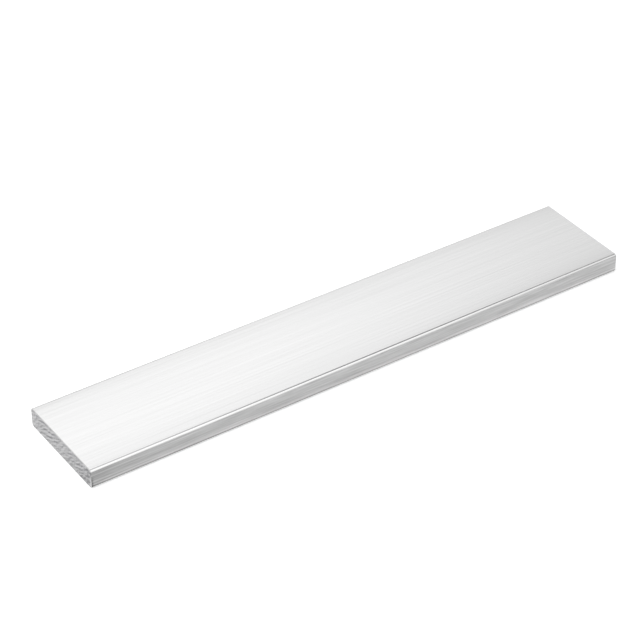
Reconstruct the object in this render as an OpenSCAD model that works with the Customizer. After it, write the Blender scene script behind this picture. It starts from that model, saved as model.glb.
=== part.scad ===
// Flat bar of extruded aluminium, sawn to length.
// The bar lies on one broad face, with its length along X and its width along Y.
// The origin is the middle of the face that it lies on. Lengths are in millimetres.

/* [Section] */
// Width of the bar, from one narrow face to the other
bar_width = 50.8; // [10:0.1:200]
// Thickness of the bar, from one broad face to the other
bar_thickness = 9.525; // [3:0.025:40]
// Radius that the extrusion die leaves on the four long edges
edge_radius = 1.2; // [0.5:0.05:1.4]

/* [Length] */
// Length of the bar, from one sawn end to the other
bar_length = 279.4; // [20:0.1:6000]
// Leg of the small bevel that deburring leaves round each sawn end
deburr_leg = 0.25; // [0.05:0.05:0.45]

/* [Hidden] */
$fn = 48;
// Middles of the four rounded long edges, across the width and through the thickness
edge_y = bar_width / 2 - edge_radius;
edge_z = bar_thickness / 2 - edge_radius;

// Outline of the bar seen square to its length: a rectangle with its corners bevelled
module deburred_outline(across) {
    end_x = bar_length / 2;
    side_y = across / 2;
    polygon([
        [-end_x + deburr_leg, -side_y], [end_x - deburr_leg, -side_y],
        [end_x, -side_y + deburr_leg], [end_x, side_y - deburr_leg],
        [end_x - deburr_leg, side_y], [-end_x + deburr_leg, side_y],
        [-end_x, side_y - deburr_leg], [-end_x, -side_y + deburr_leg]
    ]);
}

// One rounded long edge: half of that outline turned about the middle of the edge,
// so that the bevel runs round the corner of the end as a cone
module rounded_edge() {
    rotate([0, 90, 0])
        rotate_extrude()
            intersection() {
                rotate(90) deburred_outline(2 * edge_radius);
                translate([0, -bar_length / 2]) square([edge_radius, bar_length]);
            }
}

// The bar in one piece: a slab between the broad faces, a slab between the narrow faces
// and the four rounded edges that close the corners of its section
module flat_bar() {
    color("silver")
        translate([0, 0, bar_thickness / 2])
            union() {
                rotate([90, 0, 0])
                    linear_extrude(height = 2 * edge_y, center = true)
                        deburred_outline(bar_thickness);
                linear_extrude(height = 2 * edge_z, center = true)
                    deburred_outline(bar_width);
                for (across = [-1, 1], up = [-1, 1])
                    translate([0, across * edge_y, up * edge_z])
                        rounded_edge();
            }
}

flat_bar();
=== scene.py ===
"""Dresses the flat bar: its extruded skin, its filed rims and its two sawn ends."""
import logging
import math
from dataclasses import dataclass
from enum import IntEnum
from typing import Any

import bmesh
import bpy
import numpy as np
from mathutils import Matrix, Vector


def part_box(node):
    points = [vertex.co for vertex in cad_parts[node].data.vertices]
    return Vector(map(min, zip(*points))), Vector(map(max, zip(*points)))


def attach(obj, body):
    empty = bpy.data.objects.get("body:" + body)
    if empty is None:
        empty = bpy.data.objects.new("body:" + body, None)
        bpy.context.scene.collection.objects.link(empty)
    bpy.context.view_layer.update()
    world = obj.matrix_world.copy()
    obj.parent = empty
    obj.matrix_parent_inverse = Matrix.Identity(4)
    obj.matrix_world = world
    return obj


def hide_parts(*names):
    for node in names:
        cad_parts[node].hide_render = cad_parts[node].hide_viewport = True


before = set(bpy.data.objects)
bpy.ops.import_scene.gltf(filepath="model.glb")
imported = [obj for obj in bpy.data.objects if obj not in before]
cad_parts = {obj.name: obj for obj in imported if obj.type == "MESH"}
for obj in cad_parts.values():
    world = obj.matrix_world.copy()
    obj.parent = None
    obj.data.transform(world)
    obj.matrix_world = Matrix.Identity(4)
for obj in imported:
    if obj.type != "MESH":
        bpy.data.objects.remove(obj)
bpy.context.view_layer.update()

MM = 0.001
IMAGE_SIDE = 640
# the limits of a Map Range node: those of what goes in, then those of what comes out
LIMITS = ("From Min", "From Max", "To Min", "To Max")
# the colour sockets of a Mix node, by number, because its other sockets have the same names
MIX_FROM = 6
MIX_TO = 7
MIX_COLOUR = 2
log = logging.getLogger("flat_bar")


class Finish(IntEnum):
    """The finishes of the bar, in the order of its material slots."""

    EXTRUDED = 0
    FILED = 1
    SAWN = 2


def linear(hex_colour: str) -> tuple[float, float, float, float]:
    """Turns an sRGB hex colour into linear light, by the standard sRGB curve.

    Args:
        hex_colour: Six hex digits after a hash sign.

    Returns:
        Linear red, green and blue, and an alpha of 1.
    """
    parts = [int(hex_colour[i:i + 2], 16) / 255 for i in (1, 3, 5)]
    red, green, blue = [p / 12.92 if p <= 0.04045 else ((p + 0.055) / 1.055) ** 2.4 for p in parts]
    return red, green, blue, 1.0


def add_node(tree: bpy.types.NodeTree, kind: str,
             links: dict[str | int, bpy.types.NodeSocket] | None = None,
             values: dict[str | int, Any] | None = None, **settings: Any) -> bpy.types.Node:
    """Adds a node with its settings and links.

    Args:
        tree: The node tree that gets the node.
        kind: The node's type name.
        links: Input socket to the output socket that feeds it.
        values: Input socket to its constant value.
        settings: Properties of the node itself.

    Returns:
        The new node.
    """
    node = tree.nodes.new(kind)
    for name, value in settings.items():
        setattr(node, name, value)
    for socket, value in (values or {}).items():
        node.inputs[socket].default_value = value
    for socket, source in (links or {}).items():
        tree.links.new(source, node.inputs[socket])
    return node


def new_tree(name: str) -> tuple[bpy.types.Material, bpy.types.NodeTree]:
    """Makes an empty node material.

    Args:
        name: The material's name.

    Returns:
        The material and its node tree.
    """
    material = bpy.data.materials.new(name)
    material.use_nodes = True
    material.node_tree.nodes.clear()
    return material, material.node_tree


def ramp(values: np.ndarray) -> np.ndarray:
    """Cuts values off below 0 and above 1, which makes a ramp of a slope."""
    return np.clip(values, 0, 1)


def bell(distance: np.ndarray, width: float) -> np.ndarray:
    """Gives a bell curve: 1 at no distance, and about a third at a distance of one width."""
    return np.exp(-(distance / width) ** 2)


def edge_share(middles: np.ndarray) -> np.ndarray:
    """Gives how far a section's points lie across, from 0 at the middle to 1 at the edges."""
    offset = np.abs(middles[:, 0])
    return offset / offset.max()


def soften(values: np.ndarray, width: float) -> np.ndarray:
    """Blurs noise round a closed ring and brings it back to unit spread.

    Each wave round the ring is damped by a bell curve of its frequency.

    Args:
        values: Noise, with the ring along the last axis.
        width: Width of the blur, in steps of the ring.

    Returns:
        The blurred noise, with a standard deviation of 1.
    """
    count = values.shape[-1]
    damping = np.exp(-2 * (np.pi * width * np.fft.rfftfreq(count)) ** 2)
    soft = np.fft.irfft(np.fft.rfft(values) * damping, count)
    return soft / soft.std()


@dataclass(frozen=True)
class Section:
    """The bar's section: a rectangle whose four corners are arcs."""

    width: float
    thickness: float
    radius: float
    # steps of the grid along a broad face, along a narrow face and round a corner
    broad_steps: int = 260
    narrow_steps: int = 44
    corner_steps: int = 16

    def walk(self) -> tuple[np.ndarray, np.ndarray]:
        """Walks round the section, from the top of the back face over the top and down the front.

        Every point lies one radius from a middle, along its own normal. On a flat the middle slides
        and the normal stays. On a corner the middle stays and the normal turns by a right angle.

        Returns:
            The middles, two columns across and up, and the angles of the normals.
        """
        reach = (self.width / 2 - self.radius, self.thickness / 2 - self.radius)
        corners = np.array([[1, 1], [-1, 1], [-1, -1], [1, -1]]) * reach
        bend = np.linspace(0, 1, self.corner_steps, endpoint=False)
        middles, angles = [], []
        for turn, steps in enumerate((self.broad_steps, self.narrow_steps) * 2):
            here, there = corners[turn], corners[(turn + 1) % 4]
            slide = np.linspace(0, 1, steps, endpoint=False)[:, None]
            middles += [np.tile(here, (self.corner_steps, 1)), here + slide * (there - here)]
            angles += [(turn + bend) * np.pi / 2, np.full(steps, (turn + 1) * np.pi / 2)]
        return np.concatenate(middles), np.concatenate(angles)


@dataclass(frozen=True)
class DieLines:
    """Fine lines that the extrusion die draws along the bar."""

    seed: int = 11
    # places along the bar where the lines are drawn anew
    stations: int = 6
    # width of each layer of lines, in steps round the section of about 0.2 mm, and its weight
    widths: tuple[float, ...] = (1.4, 2.6, 14.0)
    weights: tuple[float, ...] = (0.85, 0.5, 0.08)

    def pattern(self, along: np.ndarray, count: int) -> np.ndarray:
        """Works out the lines over the whole skin.

        Noise round the section is drawn at a few stations along the bar, and the lines between two
        stations fade from the one to the other, so that a line comes and goes over some centimetres.

        Args:
            along: Place of each row along the bar, from 0 to 1.
            count: Points round the section.

        Returns:
            Rows by points, with a mean of about 0 and a spread of 1.
        """
        draw = np.random.default_rng(self.seed)
        noise = sum(weight * soften(draw.standard_normal((self.stations, count)), width)
                    for width, weight in zip(self.widths, self.weights))
        place = along[:, None] * (self.stations - 1) - np.arange(self.stations)
        share = 0.5 + 0.5 * np.cos(np.pi * np.clip(place, -1, 1))
        lines = share @ noise
        return lines / lines.std()


@dataclass(frozen=True)
class SkinTone:
    """How light the skin is from place to place, counted in spreads of the die lines.

    Besides the die lines it holds painted light and shade. A broad face gets painted shade towards its
    two edges. A narrow face gets painted shade that darkens it towards its top. It has a painted dark
    line of shade along its foot, a painted light streak over that, painted shade near the left end and
    a painted dark line of shade just beyond that end's edge.
    """

    length: float
    thickness: float
    edge_radius: float
    rim_leg: float
    # a narrow face, with its darker colour of painted shade, begins where the level share of the normal
    # passes start, less climb at the right end
    narrow_start: float = 0.888
    narrow_climb: float = 0.09
    narrow_blend: float = 0.11
    corner_blend: float = 3.0
    # painted shade on a broad face towards its edges, and the power of its curve
    painted_edge_shade: float = 10.0
    painted_edge_shade_power: int = 3
    # painted shade on a narrow face, darker from foot to top, and the share of its height where nothing
    # is added
    flank_shade: float = 1.6
    flank_level: float = 0.25
    # the painted dark line of shade along the foot, which is taller where the painted shade near the
    # left end is
    foot_top: float = 1.28 * MM
    foot_blend: float = 0.25 * MM
    foot_spread: float = 0.5 * MM
    foot_shade: float = 5.5
    # the painted light streak over the foot
    streak_height: float = 1.9 * MM
    streak_width: float = 0.45 * MM
    streak_light: float = 7.5
    # the painted shade near the left end: how far it reaches, and how much darker, lower-lying and more
    # streaked it is
    left_shade_reach: float = 22 * MM
    left_shade_depth: float = 5.2
    left_shade_lean: float = 0.9
    left_shade_streaks: float = 1.4
    # the painted shade just beyond the left end's edge: how far it reaches, and the share of the height
    # where it ends, with the slope there
    end_edge_shade_reach: float = 0.45 * MM
    end_edge_shade_depth: float = 15.0
    end_edge_shade_top: float = 0.65
    end_edge_shade_slope: float = 4.0

    def shares(self, angles: np.ndarray, along: np.ndarray) -> tuple[np.ndarray, np.ndarray]:
        """Works out which points belong to the narrow faces, and which to the rounded corners.

        A narrow face begins part of the way round each corner, by a ramp over the level share of the
        normal, and earlier towards the right end. A corner is where the normal is aslant.

        Args:
            angles: Angles of the normals.
            along: Place of each row along the bar, as a column.

        Returns:
            Share of narrow face, rows by points, and share of corner, one value for each point.
        """
        climb = self.narrow_climb * ramp(2 * along / self.length) ** 2
        narrow = ramp((np.abs(np.cos(angles)) - self.narrow_start + climb) / self.narrow_blend)
        corner = ramp(self.corner_blend * np.abs(np.sin(2 * angles)))
        return narrow, corner

    def foot(self, rise: np.ndarray, angles: np.ndarray, left_shade: np.ndarray) -> np.ndarray:
        """Works out the painted dark line of shade along the foot of a narrow face, by a ramp over the
        height.

        Args:
            rise: Height of the points' middles over the underside.
            angles: Angles of the normals.
            left_shade: Share of the painted shade near the left end in each row, as a column.

        Returns:
            Share of the foot line, rows by points.
        """
        upright = ramp(self.corner_blend * np.abs(np.cos(angles)))
        top = self.foot_top + self.foot_spread * left_shade
        return upright * ramp((top - (rise + self.edge_radius * np.sin(angles))) / self.foot_blend)

    def flank(self, height: np.ndarray, corner: np.ndarray, from_left: np.ndarray, left_shade: np.ndarray,
              lines: np.ndarray) -> np.ndarray:
        """Works out the tone of a narrow face over its foot, which is painted light and shade.

        It falls evenly with the height, as painted shade. The painted light streak is a bell curve over
        the height. The painted shade near the left end is added by its share, and the painted shade
        beyond that end's edge is a bell curve along the bar, cut off by a ramp over the height.

        Args:
            height: Height of the points' middles, as a share of the thickness.
            corner: Share of corner at each point.
            from_left: Distance of each row from the left end, as a column.
            left_shade: Share of the painted shade near the left end in each row, as a column.
            lines: The die lines, rows by points.

        Returns:
            What is added to the die lines there, rows by points.
        """
        # painted light: a lighter streak low on the face
        streak = bell(height * self.thickness - self.streak_height, self.streak_width)
        streak = self.streak_light * streak * (1 - corner) * (1 - left_shade)
        # painted shade: the face darkens towards its top
        slope = self.flank_shade * (height - self.flank_level)
        # painted shade near the left end, with the die lines showing more in it
        left_shade_tone = self.left_shade_depth * (1 + self.left_shade_lean * (0.5 - height)) - self.left_shade_streaks * lines
        # painted shade just beyond the left end's edge, on the lower part of the face
        end_edge_shade = bell(from_left - self.rim_leg, self.end_edge_shade_reach)
        end_edge_shade = end_edge_shade * ramp(self.end_edge_shade_slope * (self.end_edge_shade_top - height))
        return streak - slope - left_shade * left_shade_tone - self.end_edge_shade_depth * end_edge_shade

    def work_out(self, middles: np.ndarray, angles: np.ndarray,
                 along: np.ndarray) -> dict[str, np.ndarray]:
        """Works out what the finish of the skin reads, with its painted light and shade.

        The painted shade near the left end fades from it by an exponential curve, and the broad faces
        get painted shade towards their edges by a power curve.

        Args:
            middles: Middles of the section's points, across and up.
            angles: Angles of their normals.
            along: Place of each row along the bar.

        Returns:
            Arrays of rows by points: lightness of the die lines with the painted light and shade, share
                of narrow face, share of corner.
        """
        lines = DieLines().pattern(along / self.length + 0.5, len(angles))
        narrow, corner = self.shares(angles, along[:, None])
        height = middles[:, 1] / self.thickness + 0.5
        from_left = along[:, None] + self.length / 2
        # painted shade: the narrow faces darken towards the left end
        left_shade = np.exp(-from_left / self.left_shade_reach)
        # painted shade: the dark line along the foot of each narrow face
        foot = self.foot(height * self.thickness, angles, left_shade)
        flank = self.flank(height, corner, from_left, left_shade, lines)
        # painted shade: the broad faces darken towards their edges
        broad = (1 - corner) * np.abs(np.sin(angles))
        painted_shade = self.painted_edge_shade * broad * edge_share(middles) ** self.painted_edge_shade_power
        lines = lines + narrow * flank - self.foot_shade * foot - painted_shade
        # the foot's painted shade counts as narrow face, so it takes the narrow faces' darker colour
        return {"die_line_and_painted_light": lines, "narrow_face": np.maximum(narrow, foot),
                "corner": np.broadcast_to(corner, lines.shape)}


@dataclass(frozen=True)
class SawMarks:
    """Marks that the saw leaves on an end: broken strokes aslant, with torn spots between them."""

    seed: int = 142
    # degrees between the strokes and the way across, and their spread
    slant: float = 29.0
    slant_spread: float = 14.0
    # shortest and longest waves, and how many there are, for strokes, spots and patches
    stroke_sizes: tuple[float, float] = (0.8 * MM, 2.9 * MM)
    strokes: int = 60
    spot_sizes: tuple[float, float] = (0.8 * MM, 2.4 * MM)
    spots: int = 40
    patch_sizes: tuple[float, float] = (6.0 * MM, 16.0 * MM)
    patches: int = 16
    # strengths beside the strokes
    spot_share: float = 0.6
    patch_share: float = 0.12
    tear: float = 0.2

    def waves(self, draw: np.random.Generator, across: np.ndarray, up: np.ndarray, turn: np.ndarray,
              sizes: tuple[float, float]) -> np.ndarray:
        """Adds up plane waves of chance lengths and phases, the longer ones stronger.

        Args:
            draw: Source of the chance values.
            across: Place of each point across the bar.
            up: Place of each point through the thickness.
            turn: Direction in which each wave runs, from the way across.
            sizes: Shortest and longest wave.

        Returns:
            The sum, like across, with a spread of about 1.
        """
        size = np.exp(draw.uniform(*np.log(sizes), len(turn)))
        phase = draw.uniform(0, 2 * np.pi, len(turn))
        path = across[..., None] * np.cos(turn) + up[..., None] * np.sin(turn)
        strength = np.sqrt(size)
        total = np.cos(2 * np.pi * path / size + phase) @ strength
        return total / np.sqrt(size.sum() / 2)

    def pattern(self, across: np.ndarray, up: np.ndarray) -> np.ndarray:
        """Works out the marks over an end.

        The strokes are waves that all run nearly square to the slant of the cut, so that they break up
        into short lines. The torn spots are waves that run in all directions. A square term deepens the
        tears, and long waves make the cut lighter in some patches than in others.

        Args:
            across: Place of each point across the bar.
            up: Place of each point through the thickness.

        Returns:
            An array like its inputs, with a mean of 0 and a spread of about 1.
        """
        draw = np.random.default_rng(self.seed)
        lean = np.radians(90 - self.slant + self.slant_spread * draw.standard_normal(self.strokes))
        strokes = self.waves(draw, across, up, lean, self.stroke_sizes)
        turn = draw.uniform(0, 2 * np.pi, self.spots)
        spots = self.waves(draw, across, up, turn, self.spot_sizes)
        turn = draw.uniform(0, 2 * np.pi, self.patches)
        patches = self.waves(draw, across, up, turn, self.patch_sizes)
        marks = (strokes + self.spot_share * spots) / math.hypot(1, self.spot_share)
        marks = marks - self.tear * (marks ** 2 - 1) + self.patch_share * patches
        return marks / math.hypot(1, math.sqrt(2) * self.tear, self.patch_share)


@dataclass(frozen=True)
class CutTone:
    """How light a sawn end is from place to place, counted in spreads of the saw marks.

    It gets darker towards the near side, with a light band low down near that side and a band of
    painted shade behind it. Towards the far side it is darker at the top than at the foot, by painted
    shade. A darker line runs under the upper rim.
    """

    width: float
    thickness: float
    # tone at the far side, and the fall from there to the near side
    level: float = 0.22
    fall: float = 0.85
    fall_power: int = 4
    # how much the foot is lighter than the top at the far side, by painted shade, and where across that
    # turns round
    twist: float = 1.6
    twist_middle: float = 0.3
    # the light band: its place from the near side, and the share of the height where it ends
    band_place: float = 0.4 * MM
    band_width: float = 0.9 * MM
    band_light: float = 2.0
    band_top: float = 0.55
    band_slope: float = 3.0
    # the band of painted shade behind the light band, which gets stronger towards the top
    near_shade_place: float = 2.5 * MM
    near_shade_width: float = 1.0 * MM
    near_shade_dark: float = 1.4
    # the darker line under the upper rim
    rim_width: float = 1.1 * MM
    rim_dark: float = 0.5

    def work_out(self, across: np.ndarray, up: np.ndarray) -> np.ndarray:
        """Works out the tone of a sawn end.

        It falls towards the near side by a power curve, and a product of both ways twists it, as painted
        shade. The light band, the band of painted shade and the line under the rim are bell curves.

        Args:
            across: Place of each point across the bar.
            up: Place of each point through the thickness, from the middle.

        Returns:
            What is added to the saw marks, like across.
        """
        far = across / self.width + 0.5
        high = up / self.thickness + 0.5
        fall = self.level - self.fall * (1 - far) ** self.fall_power
        # painted shade: darker at the top towards the far side
        twist = self.twist * (far - self.twist_middle) * (high - 0.5)
        from_near = across + self.width / 2
        land = bell(from_near - self.band_place, self.band_width)
        land = self.band_light * land * ramp(self.band_slope * (self.band_top - high))
        # painted shade in a band behind the light band, stronger towards the top
        tear = self.near_shade_dark * bell(from_near - self.near_shade_place, self.near_shade_width) * high
        rim = self.rim_dark * bell(self.thickness / 2 - up, self.rim_width)
        return fall - twist - rim + land - tear


@dataclass(frozen=True)
class MillFinish:
    """Aluminium, mill finish as it leaves the extrusion die.

    It is a soft mirror with a grain: fine lines along the bar spread a reflection across the bar more
    than along it. The narrow faces rub harder on the die, so they are rougher and more streaked. Their
    darker colour is painted shade, for the shaded floor that they mirror.
    """

    name: str = "aluminium_mill_finish_extruded"
    broad: str = "#F5F5F5"
    broad_line: str = "#EDEDED"
    # the narrow faces' colours are darker than the broad faces' by painted shade, for the shaded floor
    # that they mirror
    narrow: str = "#C1C1C1"
    shaded_narrow_line: str = "#9E9E9E"
    line_share: float = 0.1
    roughness: float = 0.21
    narrow_roughness: float = 0.36
    corner_roughness: float = 0.13
    # a quarter turn makes a reflection spread across the bar
    grain: float = 0.5
    grain_turn: float = 0.25
    # length and width of a hairline, drawn coarser than the real 0.1 mm or so, so that it shows
    broad_hair: tuple[float, float] = (110 * MM, 0.45 * MM)
    narrow_hair: tuple[float, float] = (20 * MM, 0.5 * MM)
    hair_detail: float = 3.0
    hair_roughness: float = 0.6
    hair_range: tuple[float, float] = (0.3, 0.7)
    bump_strength: float = 0.2
    bump_depth: float = 0.01 * MM

    def hairlines(self, tree: bpy.types.NodeTree, size: tuple[float, float]) -> bpy.types.NodeSocket:
        """Draws hairlines, as noise on the bar's own map that is stretched along the bar.

        Args:
            tree: The material's node tree.
            size: Length and width of a hairline.

        Returns:
            The lightness of the hairlines, from 0 to 1.
        """
        length, width = size
        place = add_node(tree, "ShaderNodeUVMap", uv_map="bar_map")
        stretch = add_node(tree, "ShaderNodeMapping", {"Vector": place.outputs[0]},
                           {"Scale": (1 / length, 1 / width, 1)})
        noise = add_node(tree, "ShaderNodeTexNoise", {"Vector": stretch.outputs[0]},
                         {"Scale": 1.0, "Detail": self.hair_detail, "Roughness": self.hair_roughness})
        hairs = add_node(tree, "ShaderNodeMapRange", {"Value": noise.outputs[0]},
                         dict(zip(LIMITS, self.hair_range)))
        return hairs.outputs[0]

    def colour(self, tree: bpy.types.NodeTree, hairs: bpy.types.NodeSocket, dark: str,
               light: str) -> bpy.types.NodeSocket:
        """Mixes the colour of a face by its hairlines, and by its die lines with their painted light and
        shade.

        Args:
            tree: The material's node tree.
            hairs: The lightness of the hairlines.
            dark: Colour in the lines.
            light: Colour between the lines.

        Returns:
            The colour.
        """
        lines = add_node(tree, "ShaderNodeAttribute", attribute_name="die_line_and_painted_light")
        tone = add_node(tree, "ShaderNodeMath", {0: lines.outputs["Fac"], 2: hairs},
                        {1: self.line_share}, operation="MULTIPLY_ADD")
        mixed = add_node(tree, "ShaderNodeMix", {"Factor": tone.outputs[0]},
                         {MIX_FROM: linear(dark), MIX_TO: linear(light)},
                         data_type="RGBA", clamp_factor=False)
        return mixed.outputs[MIX_COLOUR]

    def make(self) -> bpy.types.Material:
        """Builds the material.

        Returns:
            The material, which reads the bar's own map and its attributes.
        """
        material, tree = new_tree(self.name)
        narrow = add_node(tree, "ShaderNodeAttribute", attribute_name="narrow_face")
        corner = add_node(tree, "ShaderNodeAttribute", attribute_name="corner")
        hairs = self.hairlines(tree, self.broad_hair)
        bright = self.colour(tree, hairs, self.broad_line, self.broad)
        # the narrow faces' colour, darkened by painted shade
        painted_shade = self.colour(tree, self.hairlines(tree, self.narrow_hair), self.shaded_narrow_line, self.narrow)
        colour = add_node(tree, "ShaderNodeMix",
                          {"Factor": narrow.outputs["Fac"], MIX_FROM: bright, MIX_TO: painted_shade},
                          data_type="RGBA")
        flats = add_node(tree, "ShaderNodeMapRange", {"Value": narrow.outputs["Fac"]},
                         {"To Min": self.roughness, "To Max": self.narrow_roughness})
        rough = add_node(tree, "ShaderNodeMix", {"Factor": corner.outputs["Fac"], "A": flats.outputs[0]},
                         {"B": self.corner_roughness})
        bump = add_node(tree, "ShaderNodeBump", {"Height": hairs},
                        {"Strength": self.bump_strength, "Distance": self.bump_depth})
        way = add_node(tree, "ShaderNodeTangent", direction_type="UV_MAP", uv_map="bar_map")
        shader = add_node(tree, "ShaderNodeBsdfPrincipled",
                          {"Base Color": colour.outputs[MIX_COLOUR], "Roughness": rough.outputs[0],
                           "Normal": bump.outputs[0], "Tangent": way.outputs[0]},
                          {"Metallic": 1.0, "Anisotropic": self.grain,
                           "Anisotropic Rotation": self.grain_turn})
        add_node(tree, "ShaderNodeOutputMaterial", {"Surface": shader.outputs[0]})
        return material


@dataclass(frozen=True)
class FiledFinish:
    """Aluminium, filed by hand: fresh bright metal on the rim of each end, with short file marks.

    On the narrow sides the rim gets dark grey painted shade, more of it towards the top.
    """

    name: str = "aluminium_filed_rim"
    bright: str = "#E9E9E9"
    end_edge_shade: str = "#58585A"
    roughness: float = 0.28
    mark_size: float = 0.6 * MM
    mark_detail: float = 2.0
    mark_share: float = 0.25
    # heights between which the painted shade on the narrow sides grows, and its share at each
    end_edge_shade_heights: tuple[float, float] = (4.0 * MM, 7.5 * MM)
    end_edge_shade_shares: tuple[float, float] = (0.3, 0.7)

    def make(self) -> bpy.types.Material:
        """Builds the material.

        Returns:
            The material, which reads Object coordinates and the bar's share of narrow face.
        """
        material, tree = new_tree(self.name)
        place = add_node(tree, "ShaderNodeTexCoord")
        narrow = add_node(tree, "ShaderNodeAttribute", attribute_name="narrow_face")
        marks = add_node(tree, "ShaderNodeTexNoise", {"Vector": place.outputs["Object"]},
                         {"Scale": 1 / self.mark_size, "Detail": self.mark_detail})
        part = add_node(tree, "ShaderNodeSeparateXYZ", {0: place.outputs["Object"]})
        # painted shade on the rim's narrow sides, growing towards the top
        growth = add_node(tree, "ShaderNodeMapRange", {"Value": part.outputs[2]},
                          dict(zip(LIMITS, self.end_edge_shade_heights + self.end_edge_shade_shares)))
        end_edge_shade = add_node(tree, "ShaderNodeMath", {0: growth.outputs[0], 1: narrow.outputs["Fac"]},
                        operation="MULTIPLY")
        grey = add_node(tree, "ShaderNodeMath", {0: marks.outputs[0], 2: end_edge_shade.outputs[0]},
                        {1: self.mark_share}, operation="MULTIPLY_ADD", use_clamp=True)
        colour = add_node(tree, "ShaderNodeMix", {"Factor": grey.outputs[0]},
                          {MIX_FROM: linear(self.bright), MIX_TO: linear(self.end_edge_shade)}, data_type="RGBA")
        shader = add_node(tree, "ShaderNodeBsdfPrincipled", {"Base Color": colour.outputs[MIX_COLOUR]},
                          {"Metallic": 1.0, "Roughness": self.roughness})
        add_node(tree, "ShaderNodeOutputMaterial", {"Surface": shader.outputs[0]})
        return material


@dataclass(frozen=True)
class SawnFinish:
    """Aluminium, sawn: torn and mottled metal, dull in the marks and brighter on the lands between."""

    name: str = "aluminium_sawn_end"
    land: str = "#C1C1C2"
    torn: str = "#818183"
    # saw marks that are fully torn and fully land
    mark_range: tuple[float, float] = (-1.5, 1.2)
    roughness: float = 0.5
    grit: float = 0.45 * MM
    grit_detail: float = 3.0
    bump_strength: float = 0.6
    bump_depth: float = 0.05 * MM

    def make(self) -> bpy.types.Material:
        """Builds the material.

        Returns:
            The material, which reads the bar's saw marks and Object coordinates.
        """
        material, tree = new_tree(self.name)
        # the saw marks carry the painted shade of the cut too
        marks = add_node(tree, "ShaderNodeAttribute", attribute_name="saw_mark_and_painted_shade")
        light = add_node(tree, "ShaderNodeMapRange", {"Value": marks.outputs["Fac"]},
                         dict(zip(LIMITS, self.mark_range)))
        colour = add_node(tree, "ShaderNodeMix", {"Factor": light.outputs[0]},
                          {MIX_FROM: linear(self.torn), MIX_TO: linear(self.land)}, data_type="RGBA")
        place = add_node(tree, "ShaderNodeTexCoord")
        grit = add_node(tree, "ShaderNodeTexNoise", {"Vector": place.outputs["Object"]},
                        {"Scale": 1 / self.grit, "Detail": self.grit_detail})
        bump = add_node(tree, "ShaderNodeBump", {"Height": grit.outputs[0]},
                        {"Strength": self.bump_strength, "Distance": self.bump_depth})
        shader = add_node(tree, "ShaderNodeBsdfPrincipled",
                          {"Base Color": colour.outputs[MIX_COLOUR], "Normal": bump.outputs[0]},
                          {"Metallic": 1.0, "Roughness": self.roughness})
        add_node(tree, "ShaderNodeOutputMaterial", {"Surface": shader.outputs[0]})
        return material


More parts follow.
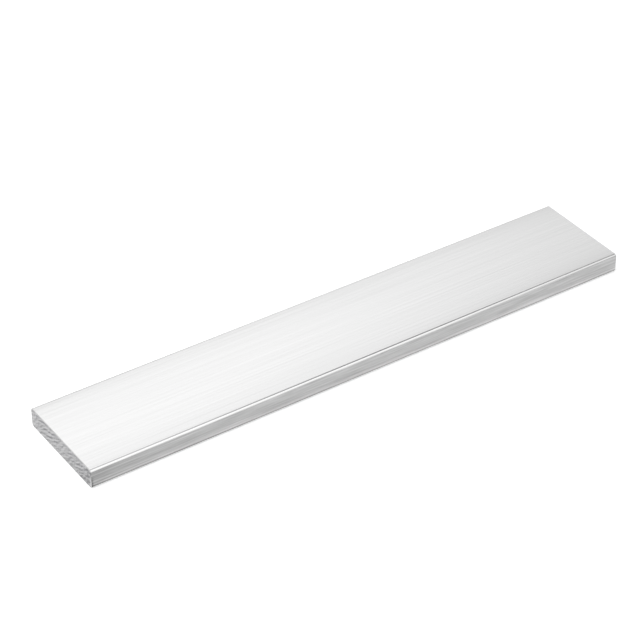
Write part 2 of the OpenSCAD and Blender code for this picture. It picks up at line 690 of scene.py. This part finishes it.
@dataclass
class FlatBar:
    """The bar: one piece of extruded stock, sawn to length, with the rims of its ends filed."""

    length: float
    width: float
    thickness: float
    edge_radius: float = 1.2 * MM
    # leg of a filed rim, and the power of its curve, where 1 is a flat bevel and 2 a round
    rim_leg: float = 0.25 * MM
    rim_power: float = 1.3
    # rows of the grid on a rim, on the skin and on an end, and more rows close to the skin's two ends
    rim_rows: int = 6
    skin_rows: int = 58
    end_rows: int = 26
    close_rows: tuple[float, ...] = (0.1 * MM, 0.4 * MM, 1.2 * MM)
    # depth of the die lines for each spread, from the lightest that counts down to the deepest; the
    # painted shade in the same values sinks the surface too
    broad_relief: float = 0.0012 * MM
    narrow_relief: float = 0.003 * MM
    relief_top: float = 1.5
    relief_reach: float = 4.0
    # how far the broad faces fall away at their edges
    crown: float = 0.06 * MM
    crown_power: int = 10
    # depth of the saw marks in the same way, and how steeply it sets in behind the rim
    saw_relief: float = 0.015 * MM
    saw_top: float = 1.5
    saw_reach: float = 3.5
    saw_slope: float = 12.0
    # shift of the marks in thicknesses, up on one end and down on the other, so that the two differ
    saw_shift: float = 3.0
    # points nearer than this become one where an end folds shut
    weld: float = 0.001 * MM
    name: str = "flat_bar_stock"

    def rows(self) -> tuple[np.ndarray, np.ndarray, np.ndarray, np.ndarray]:
        """Lists the rows of the surface, from the middle line of the left end to that of the right end.

        A row is the section at one place along the bar. On an end the row shrinks towards the middle
        line. On a rim it follows a quarter of a superellipse, between a flat bevel and a round.

        Returns:
            Place along the bar, inset from the section, share of the way to the end's middle line, and
            the finish of the faces after each row.
        """
        gather = np.linspace(1, 0, self.end_rows, endpoint=False)
        sweep = np.linspace(0, np.pi / 2, self.rim_rows)
        step = self.rim_leg * (1 - np.cos(sweep) ** (2 / self.rim_power))
        inset = self.rim_leg * (1 - np.sin(sweep) ** (2 / self.rim_power))
        start = self.rim_leg - self.length / 2
        skin = np.linspace(start, -start, self.skin_rows)[1:-1]
        close = np.array(self.close_rows)
        skin = np.sort(np.concatenate([skin, start + close, -start - close]))
        half = np.concatenate([np.full(self.end_rows, -self.length / 2), step - self.length / 2])
        flat = np.full(self.end_rows, self.rim_leg)
        along = np.concatenate([half, skin, -half[::-1]])
        insets = np.concatenate([flat, inset, 0 * skin, inset[::-1], flat])
        gathers = np.concatenate([gather, 0 * inset, 0 * skin, 0 * inset, gather[::-1]])
        counts = (self.end_rows, self.rim_rows - 1, len(skin) + 1, self.rim_rows - 1, self.end_rows)
        kinds = (Finish.SAWN, Finish.FILED, Finish.EXTRUDED, Finish.FILED, Finish.SAWN)
        return along, insets, gathers, np.repeat(kinds, counts)

    def surface(self) -> dict[str, np.ndarray]:
        """Works out the points of the whole bar and what its finishes read there.

        A point lies its radius, less its inset and its relief, from its middle, along its normal. The
        relief is the depth of the die lines, with the painted shade in the same values, and a power
        curve by which the broad faces fall away. On an end a point moves from the rim to the middle
        line, straight in, and the saw marks, with the painted shade of the cut, sink it.

        Returns:
            Arrays of rows by points round the section, and the finish of each row of faces.
        """
        middles, angles = Section(self.width, self.thickness, self.edge_radius).walk()
        along, insets, gathers, kinds = self.rows()
        skin = SkinTone(self.length, self.thickness, self.edge_radius, self.rim_leg)
        made = skin.work_out(middles, angles, along)
        depth = self.broad_relief + (self.narrow_relief - self.broad_relief) * made["narrow_face"]
        relief = depth * np.clip(made["die_line_and_painted_light"] - self.relief_top, -self.relief_reach, 0)
        relief = relief - self.crown * np.abs(np.sin(angles)) * edge_share(middles) ** self.crown_power
        radius = self.edge_radius - insets[:, None] + relief
        across = middles[:, 0] + radius * np.cos(angles)
        up = middles[:, 1] + radius * np.sin(angles)
        spine = (self.width - self.thickness) / 2
        pull = gathers[:, None]
        across = across + pull * (np.clip(across, -spine, spine) - across)
        up = up * (1 - pull)
        side = np.sign(along)[:, None]
        marks = SawMarks().pattern(across, up + side * self.thickness * self.saw_shift)
        marks = marks + CutTone(self.width, self.thickness).work_out(across, up)
        sink = self.saw_relief * np.clip(self.saw_top - marks, 0, self.saw_reach)
        sink = sink * ramp(pull * self.saw_slope)
        points = np.stack([along[:, None] - side * sink, across, up + self.thickness / 2], axis=-1)
        return made | {"points": points, "kinds": kinds, "saw_mark_and_painted_shade": marks}

    def build(self) -> bpy.types.Object:
        """Puts the surface into one closed mesh.

        Returns:
            The bar's object, at the origin.
        """
        made = self.surface()
        rows, count = made["die_line_and_painted_light"].shape
        index = np.arange(rows * count).reshape(rows, count)
        turned = np.roll(index, -1, axis=1)
        faces = np.stack([index[:-1], turned[:-1], turned[1:], index[1:]], axis=-1).reshape(-1, 4)
        mesh = bpy.data.meshes.new(self.name)
        mesh.vertices.add(rows * count)
        mesh.vertices.foreach_set("co", made["points"].astype(np.float32).ravel())
        mesh.loops.add(faces.size)
        mesh.loops.foreach_set("vertex_index", faces.ravel())
        mesh.polygons.add(len(faces))
        mesh.polygons.foreach_set("loop_start", np.arange(0, faces.size, 4))
        mesh.polygons.foreach_set("material_index", np.repeat(made["kinds"], count))
        mesh.polygons.foreach_set("use_smooth", np.ones(len(faces), dtype=bool))
        mesh.update(calc_edges=True)
        for name in ("die_line_and_painted_light", "narrow_face", "corner", "saw_mark_and_painted_shade"):
            store = mesh.attributes.new(name, "FLOAT", "POINT")
            store.data.foreach_set("value", made[name].astype(np.float32).ravel())
        self.map_surface(mesh, made["points"], faces)
        self.close_ends(mesh, index)
        bar = bpy.data.objects.new(self.name, mesh)
        bpy.context.scene.collection.objects.link(bar)
        return bar

    def map_surface(self, mesh: bpy.types.Mesh, points: np.ndarray, faces: np.ndarray) -> None:
        """Gives the mesh a map: metres along the bar, and metres round the section.

        Args:
            mesh: The bar's mesh.
            points: Its points, rows by points round the section.
            faces: Its faces, four corners each.
        """
        rows, count = points.shape[:2]
        ring = points[rows // 2]
        steps = np.linalg.norm(np.roll(ring, -1, axis=0) - ring, axis=1)
        round_way = np.concatenate([[0], np.cumsum(steps)])
        column = faces % count
        # the faces that close the ring go on to its full length, and not back to 0
        wrapped = (column == 0) & (column[:, :1] == count - 1)
        v = round_way[np.where(wrapped, count, column)]
        u = points.reshape(-1, 3)[faces, 0]
        layer = mesh.uv_layers.new(name="bar_map")
        layer.data.foreach_set("uv", np.stack([u, v], axis=-1).astype(np.float32).ravel())

    def close_ends(self, mesh: bpy.types.Mesh, index: np.ndarray) -> None:
        """Merges the first and the last row, where each end folds shut on its middle line.

        Args:
            mesh: The bar's mesh.
            index: Numbers of the points, rows by points round the section.
        """
        work = bmesh.new()
        work.from_mesh(mesh)
        work.verts.ensure_lookup_table()
        seam = [work.verts[i] for i in np.concatenate([index[0], index[-1]])]
        bmesh.ops.remove_doubles(work, verts=seam, dist=self.weld)
        volume = work.calc_volume(signed=True) / MM ** 3
        log.info("bar encloses %.1f mm3, %d faces", volume, len(work.faces))
        work.to_mesh(mesh)
        work.free()

    def dress(self, bar: bpy.types.Object) -> None:
        """Gives the bar its finishes.

        Args:
            bar: The bar's object.
        """
        finishes = {Finish.EXTRUDED: MillFinish(),
                    Finish.FILED: FiledFinish(),
                    Finish.SAWN: SawnFinish()}
        for kind in Finish:
            bar.data.materials.append(finishes[kind].make())


@dataclass(frozen=True)
class Room:
    """The light of a white room, by the direction that it comes from.

    The walls are lightest a little to the right, so that the broad face fades from left to right. On
    that side a dim strip of ceiling and a dim skirting give the rounded edge its dark and light lines.
    A pair of places to the right is two values of a direction's part to the right, from -1 to 1. The
    borders of the strips are in degrees from straight up, towards the back.
    """

    colour: str = "#FFFFFF"
    # the walls: light in the middle and on the right, and the places between which it fades
    wall_lights: tuple[float, float] = (1.18, 0.65)
    wall_fade: tuple[float, float] = (0.36, 0.74)
    # what is left of that light on the left, and the places between which it comes back
    left_share: float = 0.6
    left_fade: tuple[float, float] = (-0.15, 0.36)
    # the places between which both strips begin, and between which they end
    strip_start: tuple[float, float] = (0.1, 0.3)
    strip_end: tuple[float, float] = (0.66, 0.85)
    # the strip of ceiling: its two borders on the left and on the right, their blur, and its dimming
    ceiling_front: tuple[float, float] = (-17.0, 9.0)
    ceiling_back: tuple[float, float] = (33.0, 38.0)
    ceiling_taper: tuple[float, float] = (0.48, 0.56)
    ceiling_blur: float = 4.0
    ceiling_drops: tuple[float, float] = (0.5, 0.8)
    ceiling_fade: tuple[float, float] = (0.38, 0.46)
    # the skirting: the border over which it sets in, and its dimming
    skirting_border: tuple[float, float] = (52.0, 64.0)
    skirting_drops: tuple[float, float] = (0.75, 0.4)
    skirting_fade: tuple[float, float] = (0.38, 0.5)

    def walls(self, tree: bpy.types.NodeTree, to_right: bpy.types.NodeSocket) -> bpy.types.NodeSocket:
        """Works out the light of the walls, a product of two smooth steps from left to right.

        Args:
            tree: The world's node tree.
            to_right: The direction's part to the right.

        Returns:
            The strength of the light.
        """
        fade = add_node(tree, "ShaderNodeMapRange", {"Value": to_right},
                        dict(zip(LIMITS, self.wall_fade + self.wall_lights)),
                        interpolation_type="SMOOTHSTEP")
        share = add_node(tree, "ShaderNodeMapRange", {"Value": to_right},
                         dict(zip(LIMITS, (*self.left_fade, self.left_share, 1.0))),
                         interpolation_type="SMOOTHSTEP")
        light = add_node(tree, "ShaderNodeMath", {0: fade.outputs[0], 1: share.outputs[0]},
                         operation="MULTIPLY")
        return light.outputs[0]

    def ceiling(self, tree: bpy.types.NodeTree, to_right: bpy.types.NodeSocket,
                lean: bpy.types.NodeSocket) -> bpy.types.NodeSocket:
        """Works out how much the strip of ceiling dims the light, by a smooth step at each border.

        Args:
            tree: The world's node tree.
            to_right: The direction's part to the right.
            lean: The direction's angle from straight up, towards the back.

        Returns:
            The share of the light that is lost.
        """
        blur = math.radians(self.ceiling_blur)
        past = []
        for ends in (self.ceiling_front, self.ceiling_back):
            border = add_node(tree, "ShaderNodeMapRange", {"Value": to_right},
                              dict(zip(LIMITS, (*self.ceiling_taper, *map(math.radians, ends)))))
            beyond = add_node(tree, "ShaderNodeMath", {0: lean, 1: border.outputs[0]},
                              operation="SUBTRACT")
            past.append(beyond.outputs[0])
        drop = add_node(tree, "ShaderNodeMapRange", {"Value": to_right},
                        dict(zip(LIMITS, self.ceiling_fade + self.ceiling_drops)))
        begun = add_node(tree, "ShaderNodeMapRange", {"Value": past[0]},
                         {"From Min": -blur, "From Max": blur}, interpolation_type="SMOOTHSTEP")
        unended = add_node(tree, "ShaderNodeMapRange", {"Value": past[1], "To Min": drop.outputs[0]},
                           {"From Min": -blur, "From Max": blur, "To Max": 0.0},
                           interpolation_type="SMOOTHSTEP")
        dimming = add_node(tree, "ShaderNodeMath", {0: begun.outputs[0], 1: unended.outputs[0]},
                           operation="MULTIPLY")
        return dimming.outputs[0]

    def skirting(self, tree: bpy.types.NodeTree, to_right: bpy.types.NodeSocket,
                 lean: bpy.types.NodeSocket) -> bpy.types.NodeSocket:
        """Works out how much the skirting dims the light, by a smooth step at its border.

        Args:
            tree: The world's node tree.
            to_right: The direction's part to the right.
            lean: The direction's angle from straight up, towards the back.

        Returns:
            The share of the light that is lost.
        """
        drop = add_node(tree, "ShaderNodeMapRange", {"Value": to_right},
                        dict(zip(LIMITS, self.skirting_fade + self.skirting_drops)))
        dimming = add_node(tree, "ShaderNodeMapRange", {"Value": lean, "To Max": drop.outputs[0]},
                           dict(zip(LIMITS, map(math.radians, self.skirting_border))),
                           interpolation_type="SMOOTHSTEP")
        return dimming.outputs[0]

    def build(self) -> None:
        """Puts the room's light into the world."""
        world = bpy.data.worlds.new("white_room")
        bpy.context.scene.world = world
        world.use_nodes = True
        tree = world.node_tree
        tree.nodes.clear()
        way = add_node(tree, "ShaderNodeTexCoord")
        part = add_node(tree, "ShaderNodeSeparateXYZ", {0: way.outputs["Generated"]})
        to_right, to_back, to_top = part.outputs
        # lean is 0 overhead, a right angle at the back horizon and less than 0 towards the front
        lean = add_node(tree, "ShaderNodeMath", {0: to_back, 1: to_top}, operation="ARCTAN2").outputs[0]
        ceiling = self.ceiling(tree, to_right, lean)
        skirting = self.skirting(tree, to_right, lean)
        strips = add_node(tree, "ShaderNodeMath", {0: ceiling, 1: skirting}, operation="ADD")
        begun = add_node(tree, "ShaderNodeMapRange", {"Value": to_right, "To Max": strips.outputs[0]},
                         dict(zip(LIMITS, self.strip_start)))
        dimming = add_node(tree, "ShaderNodeMapRange", {"Value": to_right, "To Min": begun.outputs[0]},
                           {**dict(zip(LIMITS, self.strip_end)), "To Max": 0.0})
        kept = add_node(tree, "ShaderNodeMath", {1: dimming.outputs[0]}, {0: 1.0}, operation="SUBTRACT")
        level = add_node(tree, "ShaderNodeMath", {0: self.walls(tree, to_right), 1: kept.outputs[0]},
                         operation="MULTIPLY")
        light = add_node(tree, "ShaderNodeBackground", {"Strength": level.outputs[0]},
                         {"Color": linear(self.colour)})
        add_node(tree, "ShaderNodeOutputWorld", {"Surface": light.outputs[0]})


@dataclass(frozen=True)
class Studio:
    """A pale floor, one soft lamp over it, and the camera."""

    floor_half: float = 5.0
    floor_colour: str = "#F7F7F7"
    # light of the floor's own that whatever looks at it sees, so that it shows white
    floor_lift: float = 0.34
    # the floor lies just clear of the underside, so that the two don't flicker
    floor_gap: float = 0.01 * MM
    lamp_way: tuple[float, float, float] = (-0.35, 0.0, 0.94)
    lamp_distance: float = 1.5
    lamp_side: float = 1.2
    lamp_light: float = 1.9
    # the camera's angles in degrees, its distance, and how far it is moved to its right and its top
    azimuth: float = -34.19
    elevation: float = 35.87
    distance: float = 1030.7 * MM
    camera_shift: tuple[float, float] = (-7.56 * MM, 11.03 * MM)
    focal_pixels: float = 2315.8
    sensor_width: float = 36.0
    clip: tuple[float, float] = (0.01, 50.0)

    def build_floor(self) -> bpy.types.Object:
        """Lays the floor, a flat grid of two by two points.

        Returns:
            The floor's object.
        """
        side = np.array([-self.floor_half, self.floor_half])
        across, along = np.meshgrid(side, side)
        points = np.stack([across, along, 0 * across - self.floor_gap], axis=-1).reshape(-1, 3)
        mesh = bpy.data.meshes.new("floor")
        mesh.from_pydata(points.tolist(), [], [(0, 1, 3, 2)])
        floor = bpy.data.objects.new("floor", mesh)
        bpy.context.scene.collection.objects.link(floor)
        mesh.materials.append(self.floor_card())
        return floor

    def floor_card(self) -> bpy.types.Material:
        """Makes the floor's material, matt white card that keeps shadows and has no gloss.

        Returns:
            The material.
        """
        material, tree = new_tree("floor_card_matt_white")
        card = add_node(tree, "ShaderNodeBsdfDiffuse", values={"Color": linear(self.floor_colour)})
        ray = add_node(tree, "ShaderNodeLightPath")
        looks = ray.outputs["Is Camera Ray"]
        for kind in ("Is Glossy Ray", "Is Transmission Ray"):
            both = add_node(tree, "ShaderNodeMath", {0: looks, 1: ray.outputs[kind]}, operation="ADD")
            looks = both.outputs[0]
        lift = add_node(tree, "ShaderNodeMath", {0: looks}, {1: self.floor_lift}, operation="MULTIPLY")
        glow = add_node(tree, "ShaderNodeEmission", {"Strength": lift.outputs[0]})
        shader = add_node(tree, "ShaderNodeAddShader", {0: card.outputs[0], 1: glow.outputs[0]})
        add_node(tree, "ShaderNodeOutputMaterial", {"Surface": shader.outputs[0]})
        return material

    def build_lamp(self) -> bpy.types.Object:
        """Hangs the soft lamp over the bar, a little to the left.

        Returns:
            The lamp's object.
        """
        data = bpy.data.lights.new("soft_lamp", "AREA")
        data.shape = "SQUARE"
        data.size = self.lamp_side
        data.energy = self.lamp_light * math.pi * self.lamp_side ** 2
        lamp = bpy.data.objects.new("soft_lamp", data)
        bpy.context.scene.collection.objects.link(lamp)
        way = Vector(self.lamp_way).normalized()
        lamp.location = way * self.lamp_distance
        lamp.rotation_mode = "QUATERNION"
        lamp.rotation_quaternion = (-way).to_track_quat("-Z", "Y")
        # the bar mirrors the room alone, so no view of it burns out to white
        lamp.visible_camera = False
        lamp.visible_glossy = False
        return lamp

    def build_camera(self) -> bpy.types.Object:
        """Sets up the camera at the photograph's viewing angle.

        Returns:
            The camera's object.
        """
        turn, rise = math.radians(self.azimuth), math.radians(self.elevation)
        level = math.cos(rise)
        back = Vector((math.sin(turn) * level, -math.cos(turn) * level, math.sin(rise)))
        right = (-back).cross(Vector((0, 0, 1))).normalized()
        up = right.cross(-back)
        data = bpy.data.cameras.new("camera")
        data.sensor_width = self.sensor_width
        data.lens = self.focal_pixels / IMAGE_SIDE * self.sensor_width
        data.clip_start, data.clip_end = self.clip
        camera = bpy.data.objects.new("camera", data)
        bpy.context.scene.collection.objects.link(camera)
        camera.location = back * self.distance + right * self.camera_shift[0] + up * self.camera_shift[1]
        camera.rotation_mode = "QUATERNION"
        camera.rotation_quaternion = (-back).to_track_quat("-Z", "Y")
        bpy.context.scene.camera = camera
        return camera


def main() -> None:
    """Builds the studio and the bar, and reports each piece."""
    logging.basicConfig(level=logging.INFO, format="%(name)s: %(message)s")
    bpy.context.scene.view_settings.view_transform = "Standard"
    studio = Studio()
    camera = studio.build_camera()
    Room().build()
    log.info("stage: %s, %s, %s", camera.name, studio.build_floor().name, studio.build_lamp().name)
    low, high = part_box("flat_bar")
    size = np.array(high) - np.array(low)
    stock = FlatBar(*size.tolist())
    bar = stock.build()
    stock.dress(bar)
    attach(bar, "root")
    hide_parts("flat_bar")
    log.info("piece: %s, %d points", bar.name, len(bar.data.vertices))


if __name__ == "__main__":
    main()
